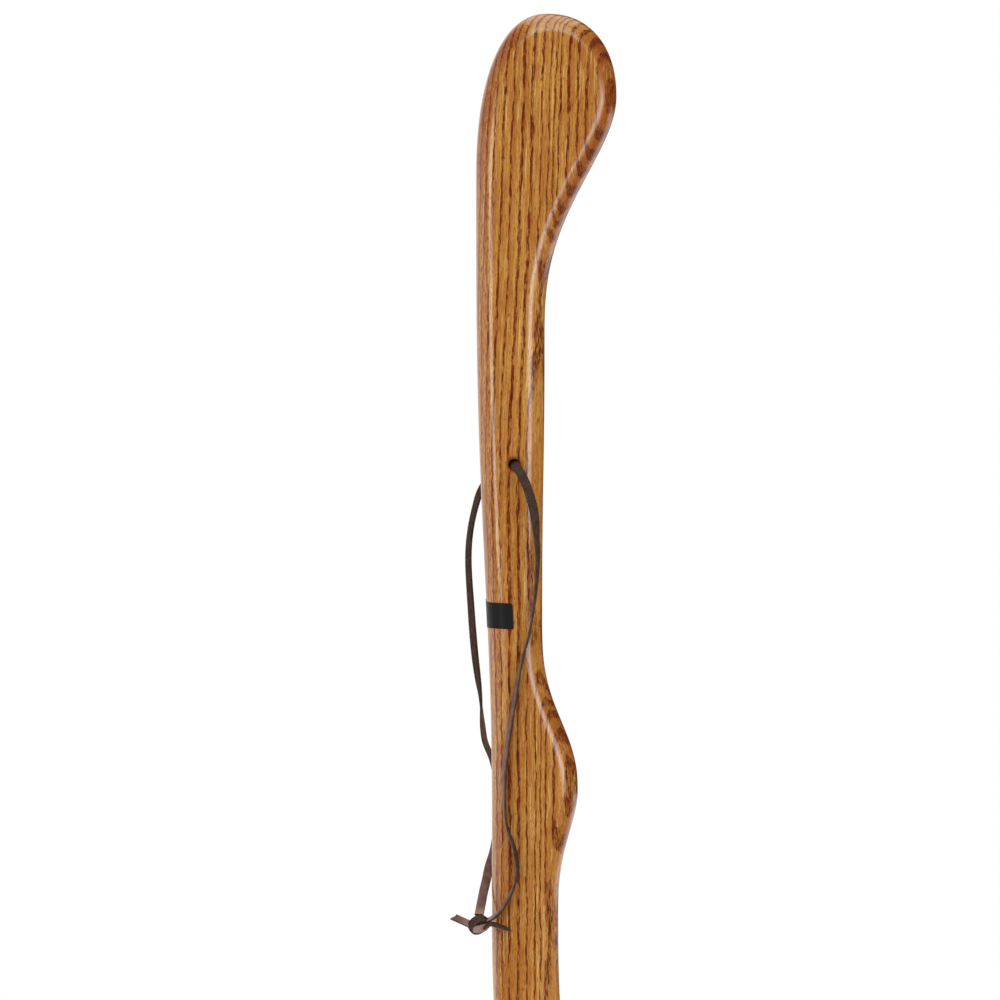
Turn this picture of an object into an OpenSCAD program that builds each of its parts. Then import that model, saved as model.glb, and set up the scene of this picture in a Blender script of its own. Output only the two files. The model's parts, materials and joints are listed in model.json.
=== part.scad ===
// Free-form hiking staff with a leather wrist lanyard, a blank wrap label and a push-on rubber ferrule.
// Millimetres. +Z runs up the staff, +X points to the side that the head leans to, and -Y is the front.
// The origin is the centre of the foot. A drop is a distance below the crown, and a reach is a distance
// from the shaft's axis.

/* [Staff] */
// Overall length, from the foot to the crown
staff_length = 1397; // [1250:1:1500]
// Thickness of the board that the staff is shaped from
board_t = 28; // [24:0.5:34]
// Radius of the rounded-over edges
edge_r = 9.5; // [6:0.5:11]
// Width of the plain shaft below the swell
shaft_w = 30.5; // [26:0.5:36]
// How far the shaft leans to the full side at its lower bend
shaft_lean = 3; // [0:0.1:6]
// Drop of the shaft's lower bend
lean_drop = 520; // [480:1:600]

/* [Head] */
// Reach of the crown's peak
crown_reach = 10.6; // [6:0.1:16]
// Reach of the head on its full side
head_reach = 42; // [34:0.1:48]
// Drop of the head's widest point on its full side
head_drop = 38; // [32:0.5:46]
// Reach of the shoulder on the straight side
shoulder_reach = 22.5; // [20:0.1:28]
// Drop of the shoulder, where the straight side begins
shoulder_drop = 76; // [60:0.5:90]

/* [Grip] */
// Drop of the neck, where the head has run out
neck_drop = 150; // [130:1:180]
// Reach of the neck on its full side
neck_reach = 9; // [6:0.1:14]
// Drop of the waist, above the swell
waist_drop = 274; // [250:1:300]
// Reach of the waist on its full side
waist_reach = 7.9; // [5:0.1:12]
// Drop of the swell's widest point
swell_drop = 357; // [335:1:385]
// Reach of the swell
swell_reach = 24.2; // [18:0.1:30]
// Drop where the swell has run out into the plain shaft
shaft_drop = 414; // [400:1:450]
// Drop where the straight side meets the plain shaft
drift_drop = 375; // [340:1:400]

/* [Lanyard] */
// Diameter of the hole that the lace goes through
hole_d = 4.8; // [4.6:0.1:7]
// Drop of the hole
hole_drop = 207; // [190:1:230]
// Distance of the hole from the middle of the grip, towards the full side
hole_shift = 1; // [0:0.1:2]
// Width of the leather lace
lace_w = 4.2; // [3:0.1:4.4]
// Thickness of the leather lace
lace_t = 1.3; // [0.8:0.1:1.6]
// Diameter of the knot
knot_d = 10; // [9:0.1:11]

/* [Label] */
// Drop of the label's upper edge at the middle of its wrap
label_drop = 270; // [250:1:300]
// Height of the label
label_h = 11.8; // [8:0.1:20]
// Length of label that lies on each flat face
label_flap = 2.5; // [1:0.5:4]
// Thickness of the label
label_t = 0.2; // [0.1:0.05:0.4]
// Slant of the label where it wraps the staff, in degrees
label_slant = 3.5; // [0:0.5:8]

/* [Ferrule] */
// Diameter of the staff's turned tip
tip_d = 22.2; // [19:0.1:26]
// Depth of the ferrule's socket
socket_depth = 34; // [26:1:45]
// Rubber wall round the socket
socket_wall = 3.4; // [2.5:0.1:6]
// Thickness of the rubber sole under the steel washer
sole_t = 10; // [8:0.5:14]
// Reach of the flared foot beyond the socket's wall
foot_flare = 4.5; // [3:0.1:8]
// Height of the straight edge of the foot
foot_h = 9; // [7:0.5:12]
// Height of the collar round the rim
collar_h = 7; // [5:0.5:10]
// How far the collar stands out from the wall
collar_step = 1.4; // [0.8:0.1:3]
// Thickness of the steel washer
washer_t = 2; // [1:0.1:3]
// Diameter of the hole in the steel washer
washer_hole_d = 7; // [5:0.5:10]
// Depth of the tread grooves in the sole
tread_depth = 1.4; // [0.8:0.1:2.5]
// Width of each tread groove
tread_w = 1.6; // [1:0.1:2.4]

/* [Hidden] */
$fn = 96;

// One overrun serves every cut, and one overlap every union
overrun = 2;
// Running gap between the turned tip and the socket
fit_gap = 0.05;
// Layer of glue under the label
glue_t = 0.06;
// How far the wood stands proud of the turned tip at the ferrule's rim
tip_step = 0.4;
// Gap between the ferrule's rim and the wood above it
rim_gap = 0.5;
// Rounding of the ferrule's outer edges
rubber_round = 1.5;
// Lead-in at the mouth of the socket
lead_in = 0.8;
// Drop step over which a slope is measured
slope_step = 0.1;

// Powers of the crown's two superelliptic sides
head_power = 2.2;
shoulder_power = 2.3;
// How early or late each side curve turns: under 1 turns early, over 1 late
head_fall_share = 0.7;
waist_share = 1;
swell_rise_share = 1.33;
swell_fall_share = 0.71;
drift_share = 1.25;
lean_share = 1;
// Share of the tip's half width that its edges are rounded to
tip_round_share = 0.96;
// Share of the lace's thickness that its corners are cut by
lace_corner_share = 0.3;

// Steps in each rounded edge, and rings in each stretch of the staff
edge_steps = 5;
crown_rings = 9;
head_rings = 16;
grip_rings = 10;
swell_rings = 18;
lean_rings = 8;
shaft_rings = 16;
label_rows = 3;
round_steps = 6;
treads = 3;

// Stations down each side below the crown: drop, reach and how the curve into it turns
right_stations = [
    [head_drop, head_reach, 1], [neck_drop, neck_reach, head_fall_share],
    [waist_drop, waist_reach, waist_share], [swell_drop, swell_reach, swell_rise_share],
    [shaft_drop, shaft_w / 2, swell_fall_share], [lean_drop, shaft_w / 2 + shaft_lean, lean_share]
];
left_stations = [
    [shoulder_drop, shoulder_reach, 1], [drift_drop, shaft_w / 2, drift_share],
    [shaft_drop, shaft_w / 2, 1], [lean_drop, shaft_w / 2 - shaft_lean, lean_share]
];

crown_z = staff_length;
hole_z = crown_z - hole_drop;
hole_x = (left_x(hole_drop) + right_x(hole_drop)) / 2 + hole_shift;
socket_r = tip_d / 2 + fit_gap;
wall_r = socket_r + socket_wall;
foot_r = wall_r + foot_flare;
seat_z = sole_t + washer_t;
rim_z = seat_z + socket_depth;
wood_end_z = rim_z + rim_gap;
tip_drop = crown_z - wood_end_z;
tip_w = tip_d + 2 * tip_step;
tread_pitch = foot_r / (treads + 1);
front_y = -board_t / 2;
rear_y = board_t / 2;

// Route of the lace in front of the staff, from the hole's front mouth to the knot.
// Each row is x, y and z from the mouth, and the turn of the lace's flat side from facing the front.
front_route = [
    [0, 0, 0, 0], [0, -3, 0, 0], [1.2, -6.2, -1.2, 0], [2.8, -8.2, -3.6, 0], [4.4, -9.2, -6.8, 0],
    [6, -9.4, -10.5, 0], [7.4, -9, -14.8, 5], [8.7, -8.4, -19.6, 10], [9.6, -7.8, -25, 30],
    [10.3, -7, -33, 60], [10.8, -6, -42, 70], [10.4, -5, -52, 78], [9.5, -4.2, -61.5, 85],
    [8.2, -3.6, -70.5, 90], [6.6, -3.4, -79, 90], [4.3, -3.2, -87, 94], [2.1, -3.2, -96, 104],
    [0.4, -3.2, -106, 110], [-1.3, -3.2, -117, 110], [-2.9, -3.2, -128, 110], [-4.2, -3.2, -138, 112],
    [-4.6, -3.2, -148, 108], [-4.2, -3.2, -159, 98], [-2.9, -3.3, -167, 86], [-0.4, -3.4, -174, 78],
    [1.3, -3.6, -182, 78], [1.1, -3.6, -189, 84], [-1.3, -3.4, -196, 98], [-5, -3, -202.5, 106],
    [-8.6, -2, -206.6, 108], [-12.2, 0.2, -208.9, 108]
];
// Route of the lace behind the staff, from the hole's rear mouth to the knot
rear_route = [
    [0, 0, 0, 0], [0, 3, 0, 0], [-1.4, 6.2, -0.4, 0], [-4.4, 8.6, -1.6, -8], [-8.6, 9.5, -4, -20],
    [-12.7, 9.2, -7.8, -34], [-15.8, 8.2, -13, -46], [-17.9, 7.2, -19.8, -56], [-19.7, 6.2, -28, -62],
    [-20.8, 5.4, -37, -65], [-21, 4.8, -46, -65], [-20.5, 4.2, -56, -64], [-19.8, 3.8, -66, -62],
    [-19.1, 3.6, -76, -59], [-18, 3.4, -88, -58], [-16.6, 3.3, -99, -65], [-15.6, 3.3, -106, -78],
    [-15, 3.3, -113, -80], [-14.4, 3.3, -121, -67], [-13.2, 3.3, -128.5, -63],
    [-10.8, 3.3, -136.5, -58], [-8.4, 3.3, -145, -48], [-7.2, 3.3, -154, -35], [-7, 3.2, -163, -20],
    [-7.9, 2.4, -171.5, -5], [-9.3, -0.5, -179, 0], [-11.4, -4, -185.5, 0],
    [-12.7, -10, -191.4, 0], [-14, -15.2, -196.6, 0], [-15, -20.6, -201.5, 0],
    [-16, -26.4, -206.4, 0]
];
// Place of the knot from the hole's centre, and the two cut ends that stand out of it
knot_place = [-16.1, -13, -210.8];
left_tail_route = [[-2.5, 0, -0.6, 50], [-5.3, 0, 0.7, 50], [-8.4, 0, 2.1, 50], [-11.3, 0, 3.4, 50]];
right_tail_route = [
    [2.8, -3.4, -1, 76], [5.4, -5.2, 0.6, 74], [9.6, -5.6, -0.5, 74], [13.1, -5.6, -1.6, 76]
];

// Plain curves

// Smooth step from 0 to 1 with no kink in its bend at either end
function ease(t) = pow(t, 3) * (10 - 15 * t + 6 * t * t);

function mix(a, b, t) = a + (b - a) * t;

function unit(v) = v / norm(v);

// Values after the first, evenly spaced up to the last
function steps(first, last, count) = [for (i = [1:count]) mix(first, last, i / count)];

// Corner of an outline as an arc about a centre, from one angle to another
function arc(centre, radius, from, to) =
    [for (i = [0:round_steps]) let (a = mix(from, to, i / round_steps)) centre + radius * [cos(a), sin(a)]];

// Outline of the staff, seen from the front

// Reach at a drop, eased from each station to the next and then tapering straight to the tip
function side_reach(stations, drop, i = 1) =
    i == len(stations) ? let (last = stations[i - 1])
        mix(last[1], tip_w / 2, max(0, drop - last[0]) / (tip_drop - last[0])) :
    drop > stations[i][0] ? side_reach(stations, drop, i + 1) :
    let (a = stations[i - 1], b = stations[i], t = (drop - a[0]) / (b[0] - a[0]))
        mix(a[1], b[1], ease(pow(max(0, t), b[2])));

// Distance out from the crown's peak at a drop, on a superellipse
function crown_out(drop, depth, out, power) =
    out * pow(max(0, 1 - pow((depth - drop) / depth, power)), 1 / power);

function right_x(drop) =
    drop < head_drop ? crown_reach + crown_out(drop, head_drop, head_reach - crown_reach, head_power) :
    side_reach(right_stations, drop);

function left_x(drop) =
    drop < shoulder_drop ?
        crown_reach - crown_out(drop, shoulder_drop, shoulder_reach + crown_reach, shoulder_power) :
    -side_reach(left_stations, drop);

// Outward direction in x and z on the crown, from the superellipse's gradient
function crown_normal(drop, depth, out, power) =
    let (across = crown_out(drop, depth, out, power) / out, up = (depth - drop) / depth)
        unit([pow(across, power - 1) / out, pow(up, power - 1) / depth]);

function slope(drop, right) =
    right ? (right_x(drop + slope_step) - right_x(drop)) / slope_step :
    (left_x(drop + slope_step) - left_x(drop)) / slope_step;

function right_normal(drop) =
    drop < head_drop ? crown_normal(drop, head_drop, head_reach - crown_reach, head_power) :
    drop < lean_drop ? unit([1, slope(drop, true)]) : [1, 0];

function left_normal(drop) =
    drop < shoulder_drop ?
        let (n = crown_normal(drop, shoulder_drop, shoulder_reach + crown_reach, shoulder_power))
            [-n[0], n[1]] :
    drop < lean_drop ? unit([-1, -slope(drop, false)]) : [-1, 0];

// Share of the way down the plain taper, from 0 at the lower bend to 1 at the tip
function taper(drop) = max(0, drop - lean_drop) / (tip_drop - lean_drop);

function thickness(drop) = mix(board_t, tip_w, taper(drop));

function rounding(drop) = mix(edge_r, tip_w / 2 * tip_round_share, taper(drop));

// One rounded edge of the staff, from the flat face to the side, grown outwards by a skin
function edge_points(x, normal, drop, face, grow) =
    let (r = rounding(drop), core = thickness(drop) / 2 - r)
        [for (j = [0:edge_steps])
            let (a = 90 * j / edge_steps, inset = r - (r + grow) * sin(a))
                [
                    x - normal[0] * inset,
                    face * (core + (r + grow) * cos(a)),
                    crown_z - drop - normal[1] * inset
                ]];

function reversed(list) = [for (i = [len(list) - 1:-1:0]) list[i]];

// Half a ring: down one side from the front face to the rear face
function left_half(drop, grow = 0) =
    let (x = left_x(drop), n = left_normal(drop))
        concat(edge_points(x, n, drop, -1, grow), reversed(edge_points(x, n, drop, 1, grow)));

function right_half(drop, grow = 0) =
    let (x = right_x(drop), n = right_normal(drop))
        concat(edge_points(x, n, drop, -1, grow), reversed(edge_points(x, n, drop, 1, grow)));

ring_drops = concat(
    [for (i = [1:crown_rings]) head_drop * (1 - cos(90 * i / crown_rings))],
    steps(head_drop, neck_drop, head_rings),
    steps(neck_drop, waist_drop, grip_rings),
    steps(waist_drop, shaft_drop, swell_rings),
    steps(shaft_drop, lean_drop, lean_rings),
    steps(lean_drop, tip_drop, shaft_rings)
);

// Two triangles for each quad, without those that have no area
function quad(a, b, c, d) =
    concat(a == b || b == c || a == c ? [] : [[a, b, c]], a == c || c == d || a == d ? [] : [[a, c, d]]);

function flat_list(lists) = [for (list = lists) for (item = list) item];

// Shaped wood: rings down the staff, whose first ring closes to one line over the crown
module shaped_wood() {
    half = 2 * (edge_steps + 1);
    ring = 2 * half;
    rings = len(ring_drops);
    points = concat(
        left_half(0),
        flat_list([for (drop = ring_drops) concat(left_half(drop), reversed(right_half(drop)))])
    );
    function at(k, i) =
        let (j = i % ring) k == 0 ? min(j, ring - 1 - j) : half + (k - 1) * ring + j;
    sides = flat_list([for (k = [0:rings - 1], i = [0:ring - 1])
        quad(at(k, i), at(k + 1, i), at(k + 1, i + 1), at(k, i + 1))]);
    base = [for (i = [1:ring - 2]) [at(rings, 0), at(rings, i + 1), at(rings, i)]];
    polyhedron(points, concat(sides, base));
}

module staff() {
    color([0.72, 0.46, 0.19])
        difference() {
            union() {
                shaped_wood();
                translate([0, 0, seat_z])
                    cylinder(d = tip_d, h = socket_depth + rim_gap + overrun);
            }
            translate([hole_x, front_y - overrun, hole_z])
                rotate([-90, 0, 0])
                    cylinder(d = hole_d, h = board_t + 2 * overrun);
        }
}

// Label: a thin skin that wraps the straight side from the front face to the rear face
module label() {
    outer = glue_t + label_t;
    wrap = 2 * label_flap + PI * edge_r + board_t - 2 * edge_r;
    count = 2 * (edge_steps + 1) + 2;
    // Place along the wrap as a share of it, from its middle towards the front
    function wrap_share(i) = 1 / 2 - i / (count - 1);
    function drop_at(row, i) =
        label_drop + label_h * row / (label_rows - 1) + wrap * wrap_share(i) * tan(label_slant);
    function face_end(p) = p + [label_flap, 0, 0];
    function wrap_points(drop, grow) =
        let (h = left_half(drop, grow)) concat([face_end(h[0])], h, [face_end(h[len(h) - 1])]);
    function layer(grow) =
        [for (row = [0:label_rows - 1], i = [0:count - 1]) wrap_points(drop_at(row, i), grow)[i]];
    size = label_rows * count;
    function at(row, i, out) = row * count + i + (out ? size : 0);
    faces = concat(
        flat_list([for (row = [0:label_rows - 2], i = [0:count - 2])
            concat(
                quad(at(row, i, true), at(row + 1, i, true), at(row + 1, i + 1, true), at(row, i + 1, true)),
                quad(at(row, i, false), at(row, i + 1, false),
                    at(row + 1, i + 1, false), at(row + 1, i, false))
            )]),
        flat_list([for (i = [0:count - 2])
            concat(
                quad(at(0, i, false), at(0, i, true), at(0, i + 1, true), at(0, i + 1, false)),
                quad(at(label_rows - 1, i, true), at(label_rows - 1, i, false),
                    at(label_rows - 1, i + 1, false), at(label_rows - 1, i + 1, true))
            )]),
        flat_list([for (row = [0:label_rows - 2])
            concat(
                quad(at(row, 0, false), at(row + 1, 0, false), at(row + 1, 0, true), at(row, 0, true)),
                quad(at(row, count - 1, true), at(row + 1, count - 1, true),
                    at(row + 1, count - 1, false), at(row, count - 1, false))
            )])
    );
    color([0.08, 0.08, 0.08])
        polyhedron(concat(layer(glue_t), layer(outer)), faces);
}

// Rubber ferrule: a flared, treaded foot under a collared socket
module ferrule() {
    collar_r = wall_r + collar_step;
    collar_z = rim_z - collar_h;
    outline = concat(
        [[0, 0]],
        arc([foot_r - rubber_round, rubber_round], rubber_round, -90, 0),
        arc([foot_r - rubber_round, foot_h - rubber_round], rubber_round, 0, 90),
        [[wall_r + rubber_round, foot_h], [wall_r, foot_h + foot_flare]],
        [[wall_r, collar_z - collar_step], [collar_r, collar_z]],
        arc([collar_r - rubber_round, rim_z - rubber_round], rubber_round, 0, 90),
        [[socket_r + lead_in, rim_z], [socket_r, rim_z - lead_in], [socket_r, sole_t], [0, sole_t]]
    );
    color([0.05, 0.05, 0.05])
        difference() {
            rotate_extrude() polygon(outline);
            for (i = [1:treads])
                rotate_extrude()
                    translate([i * tread_pitch, -overrun])
                        square([tread_w, overrun + tread_depth]);
        }
}

// Steel washer on the floor of the socket, which the tip stands on
module ferrule_washer() {
    color([0.7, 0.7, 0.72])
        translate([0, 0, sole_t])
            difference() {
                cylinder(r = socket_r - fit_gap, h = washer_t);
                translate([0, 0, -overrun])
                    cylinder(d = washer_hole_d, h = washer_t + 2 * overrun);
            }
}

// Flat leather lace swept along a route of rows of x, y, z and turn. A level run crosses the staff,
// and any other run hangs along it.
module lace(route, level = false) {
    last = len(route) - 1;
    half_w = lace_w / 2;
    half_t = lace_t / 2;
    cut = lace_t * lace_corner_share;
    section = [
        [half_w, half_t - cut], [half_w - cut, half_t], [cut - half_w, half_t], [-half_w, half_t - cut],
        [-half_w, cut - half_t], [cut - half_w, -half_t], [half_w - cut, -half_t], [half_w, cut - half_t]
    ];
    sides = len(section);
    function place(i) = [for (k = [0:2]) route[min(last, max(0, i))][k]];
    function ring(i) =
        let (
            along = unit(place(i + 1) - place(i - 1)),
            turn = route[i][3],
            facing = level ? [0, sin(turn), cos(turn)] : [cos(turn), sin(turn), 0],
            across = unit(facing - (facing * along) * along),
            through = cross(along, across)
        )
            [for (p = section) place(i) + across * p[0] + through * p[1]];
    function at(i, j) = i * sides + j % sides;
    color([0.24, 0.17, 0.13])
        polyhedron(
            flat_list([for (i = [0:last]) ring(i)]),
            concat(
                flat_list([for (i = [0:last - 1], j = [0:sides - 1])
                    quad(at(i, j), at(i + 1, j), at(i + 1, j + 1), at(i, j + 1))]),
                [for (j = [1:sides - 2]) [at(0, 0), at(0, j), at(0, j + 1)]],
                [for (j = [1:sides - 2]) [at(last, 0), at(last, j + 1), at(last, j)]]
            )
        );
}

module lace_through_hole() {
    translate([hole_x, 0, hole_z])
        lace([[0, front_y, 0, 0], [0, rear_y, 0, 0]]);
}

module lace_front_strand() {
    translate([hole_x, front_y, hole_z])
        lace(front_route);
}

module lace_rear_strand() {
    translate([hole_x, rear_y, hole_z])
        lace(rear_route);
}

module at_knot() {
    translate([hole_x, 0, hole_z] + knot_place)
        children();
}

module lanyard_knot() {
    color([0.24, 0.17, 0.13])
        at_knot()
            sphere(d = knot_d);
}

module lace_left_tail() {
    at_knot()
        lace(left_tail_route, level = true);
}

module lace_right_tail() {
    at_knot()
        lace(right_tail_route, level = true);
}

staff();
label();
ferrule();
ferrule_washer();
lace_through_hole();
lace_front_strand();
lace_rear_strand();
lanyard_knot();
lace_left_tail();
lace_right_tail();
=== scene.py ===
import json
import math

import bmesh
import bpy
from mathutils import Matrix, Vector

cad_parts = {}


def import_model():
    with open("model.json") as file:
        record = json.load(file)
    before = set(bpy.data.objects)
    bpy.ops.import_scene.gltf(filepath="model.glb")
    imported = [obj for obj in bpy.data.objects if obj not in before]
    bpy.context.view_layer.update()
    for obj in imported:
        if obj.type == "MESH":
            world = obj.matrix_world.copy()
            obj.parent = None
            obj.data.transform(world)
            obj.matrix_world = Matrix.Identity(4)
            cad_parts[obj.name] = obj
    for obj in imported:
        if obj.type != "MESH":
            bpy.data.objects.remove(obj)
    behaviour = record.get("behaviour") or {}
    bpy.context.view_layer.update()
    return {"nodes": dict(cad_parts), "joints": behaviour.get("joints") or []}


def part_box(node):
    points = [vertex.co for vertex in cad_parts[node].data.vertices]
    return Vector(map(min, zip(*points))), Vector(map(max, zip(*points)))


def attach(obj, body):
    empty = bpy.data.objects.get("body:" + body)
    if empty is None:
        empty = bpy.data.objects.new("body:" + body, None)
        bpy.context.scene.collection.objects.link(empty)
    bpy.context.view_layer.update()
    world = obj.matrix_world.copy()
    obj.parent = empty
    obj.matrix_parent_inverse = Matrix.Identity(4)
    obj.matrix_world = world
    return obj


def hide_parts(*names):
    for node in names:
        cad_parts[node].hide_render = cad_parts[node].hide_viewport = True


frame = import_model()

# Looks of a free-form hiking staff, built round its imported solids. Metres, +Z up the staff, -Y the front.
# A drop is a distance below the crown, and a reach is a distance from the shaft's axis.

# Sizes that the solids give
CROWN_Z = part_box("staff")[1].z
SEAT_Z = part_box("staff")[0].z
SOLE_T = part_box("ferrule_washer")[0].z
FOOT_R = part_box("ferrule")[1].x
RIM_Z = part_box("ferrule")[1].z
SWING = next(joint for joint in frame["joints"] if joint["name"] == "lanyard_swing")
HOLE = Vector(SWING["pos_m"])

# Sizes of the staff
BOARD_T = 0.028
EDGE_R = 0.0095
SHAFT_W = 0.0305
SHAFT_LEAN = 0.003
LEAN_DROP = 0.52
CROWN_REACH = 0.0106
HEAD_REACH = 0.042
HEAD_DROP = 0.038
SHOULDER_REACH = 0.0225
SHOULDER_DROP = 0.076
NECK_DROP = 0.15
NECK_REACH = 0.009
WAIST_DROP = 0.274
WAIST_REACH = 0.0079
SWELL_DROP = 0.357
SWELL_REACH = 0.0242
SHAFT_DROP = 0.414
DRIFT_DROP = 0.375
TIP_D = 0.0222
TIP_STEP = 0.0004
TIP_CHAMFER = 0.0008
RIM_GAP = 0.0005
HOLE_D = 0.0048
HOLE_CHAMFER = 0.0002
# Powers of the superellipses on the two sides of the crown
HEAD_POWER = 2.2
SHOULDER_POWER = 2.3
# How the curves down the sides turn: above 1 they start late, and below 1 early
HEAD_FALL_SHARE = 0.7
SWELL_RISE_SHARE = 1.33
SWELL_FALL_SHARE = 0.71
DRIFT_SHARE = 1.25
# Rounding of the edges at the tip, as a share of half its width
TIP_ROUND_SHARE = 0.96
# Step over which the slope of a side is taken
SLOPE_STEP = 0.0001
# By the hole, a face that faces the front or rear less than this is the hole's bare wall
BARE_FACING_SHARE = 0.9

WOOD_END_Z = RIM_Z + RIM_GAP
TIP_DROP = CROWN_Z - WOOD_END_Z
TIP_W = TIP_D + 2 * TIP_STEP
HOLE_R = HOLE_D / 2

# Stations down each side below the crown: drop, reach and how the curve into it turns
RIGHT_STATIONS = [
    (HEAD_DROP, HEAD_REACH, 1), (NECK_DROP, NECK_REACH, HEAD_FALL_SHARE),
    (WAIST_DROP, WAIST_REACH, 1), (SWELL_DROP, SWELL_REACH, SWELL_RISE_SHARE),
    (SHAFT_DROP, SHAFT_W / 2, SWELL_FALL_SHARE), (LEAN_DROP, SHAFT_W / 2 + SHAFT_LEAN, 1),
]
LEFT_STATIONS = [
    (SHOULDER_DROP, SHOULDER_REACH, 1), (DRIFT_DROP, SHAFT_W / 2, DRIFT_SHARE),
    (SHAFT_DROP, SHAFT_W / 2, 1), (LEAN_DROP, SHAFT_W / 2 - SHAFT_LEAN, 1),
]
# The right side and the left: stations, and depth, width and power of the crown's superellipse
SIDES = {
    1: (RIGHT_STATIONS, HEAD_DROP, HEAD_REACH - CROWN_REACH, HEAD_POWER),
    -1: (LEFT_STATIONS, SHOULDER_DROP, SHOULDER_REACH + CROWN_REACH, SHOULDER_POWER),
}

# Sizes of the label
LABEL_DROP = 0.2694
LABEL_H = 0.0118
LABEL_FLAP = 0.0025
LABEL_T = 0.0002
LABEL_GLUE = 0.00006
LABEL_CORNER = 0.001
LABEL_SLANT = math.radians(5)
# Its way round one rounded edge, down the straight side, and from end to end
EDGE_ARC = math.pi / 2 * EDGE_R
SIDE_W = BOARD_T - 2 * EDGE_R
LABEL_WRAP = 2 * LABEL_FLAP + 2 * EDGE_ARC + SIDE_W

# Sizes of the ferrule
FIT_GAP = 0.00005
SOCKET_WALL = 0.0034
FOOT_H = 0.009
COLLAR_H = 0.007
COLLAR_STEP = 0.0014
RUBBER_ROUND = 0.0015
LEAD_IN = 0.0008
TREADS = 3
TREAD_DEPTH = 0.0014
TREAD_W = 0.0016
# Degrees by which the arcs under the flare and the collar stop short of level
ARC_SHORT = 10

# Sizes of the leather lace
LACE_W = 0.0042
LACE_T = 0.0013
LACE_ROUND = 0.0004

# How the lace sits in its hole: the lift of its flat side at each mouth, which way it is pulled there,
# and how far out of the mouth both have faded
FRONT_LIFT = math.radians(45)
REAR_LIFT = math.radians(-60)
FRONT_PULL = Vector((0.0004, 0, -0.0004))
REAR_PULL = Vector((-0.0004, 0, -0.0003))
MOUTH_FADE = 0.009
# How soon the lace is squeezed round inside its hole
PLUG_PUSH = 2.5

# Routes of the lace from the hole's mouths to the knot: x, y and z from the mouth, and the turn of the
# lace's flat side from facing the front, in degrees
FRONT_MOUTH = HOLE + Vector((0, -BOARD_T / 2, 0))
REAR_MOUTH = HOLE + Vector((0, BOARD_T / 2, 0))
FRONT_ROUTE = [
    (0, 0, 0, 0), (0, -0.003, 0, 0), (0.0012, -0.0062, -0.0012, 0), (0.0028, -0.0082, -0.0036, 0),
    (0.0044, -0.0092, -0.0068, 0), (0.006, -0.0094, -0.0105, 0), (0.0074, -0.009, -0.0148, 5),
    (0.0087, -0.0084, -0.0196, 10), (0.0096, -0.0078, -0.025, 30), (0.0103, -0.007, -0.033, 60),
    (0.0108, -0.006, -0.042, 70), (0.0104, -0.005, -0.052, 78), (0.0095, -0.0042, -0.0615, 85),
    (0.0082, -0.0036, -0.0705, 90), (0.0066, -0.0034, -0.079, 90), (0.0043, -0.0032, -0.087, 94),
    (0.0021, -0.0032, -0.096, 104), (0.0004, -0.0032, -0.106, 110), (-0.0013, -0.0032, -0.117, 110),
    (-0.0029, -0.0032, -0.128, 110), (-0.0042, -0.0032, -0.138, 112), (-0.0046, -0.0032, -0.148, 108),
    (-0.0042, -0.0032, -0.159, 98), (-0.0029, -0.0033, -0.167, 86), (-0.0004, -0.0034, -0.174, 78),
    (0.0013, -0.0036, -0.182, 78), (0.0011, -0.0036, -0.189, 84), (-0.0013, -0.0034, -0.196, 98),
    (-0.005, -0.003, -0.2025, 106), (-0.0086, -0.002, -0.2066, 108), (-0.0122, 0.0002, -0.2089, 108),
]
REAR_ROUTE = [
    (0, 0, 0, 0), (0, 0.003, 0, 0), (-0.0014, 0.0062, -0.0004, 0), (-0.0044, 0.0086, -0.0016, -8),
    (-0.0086, 0.0095, -0.004, -20), (-0.0127, 0.0092, -0.0078, -34), (-0.0158, 0.0082, -0.013, -46),
    (-0.0179, 0.0072, -0.0198, -56), (-0.0197, 0.0062, -0.028, -59), (-0.0208, 0.0054, -0.037, -58),
    (-0.021, 0.0048, -0.046, -57), (-0.0205, 0.0042, -0.056, -55), (-0.0198, 0.0038, -0.066, -52),
    (-0.0191, 0.0036, -0.076, -49), (-0.018, 0.0034, -0.088, -50), (-0.0166, 0.0033, -0.099, -60),
    (-0.0156, 0.0033, -0.106, -78), (-0.015, 0.0033, -0.113, -92), (-0.0144, 0.0033, -0.121, -113),
    (-0.0132, 0.0033, -0.1285, -117), (-0.0099, 0.0033, -0.1365, -122), (-0.0079, 0.0033, -0.145, -132),
    (-0.007, 0.0033, -0.154, -145), (-0.007, 0.0032, -0.163, -160), (-0.0079, 0.0024, -0.1715, -175),
    (-0.0093, -0.0005, -0.179, -180), (-0.0114, -0.004, -0.1855, -180), (-0.0127, -0.01, -0.1914, -180),
    (-0.014, -0.0152, -0.1966, -180), (-0.015, -0.0206, -0.2015, -180), (-0.016, -0.0264, -0.2064, -180),
]
# Place of the knot from the hole's centre, and the two cut ends that stand out of it
KNOT_PLACE = Vector((-0.0161, -0.013, -0.2108))
KNOT = HOLE + KNOT_PLACE
LEFT_TAIL_ROUTE = [
    (-0.0025, 0, -0.0006, 50), (-0.0053, 0, 0.0007, 50), (-0.0084, 0, 0.0021, 50),
    (-0.0113, 0, 0.0034, 50),
]
RIGHT_TAIL_ROUTE = [
    (0.0028, -0.0034, -0.001, 76), (0.0054, -0.0052, 0.0006, 74), (0.0096, -0.0056, -0.0005, 74),
    (0.0131, -0.0056, -0.0016, 76),
]
# Slants of the cut across the end of each tail
LEFT_CUT = 0.6
RIGHT_CUT = 0.9

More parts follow.
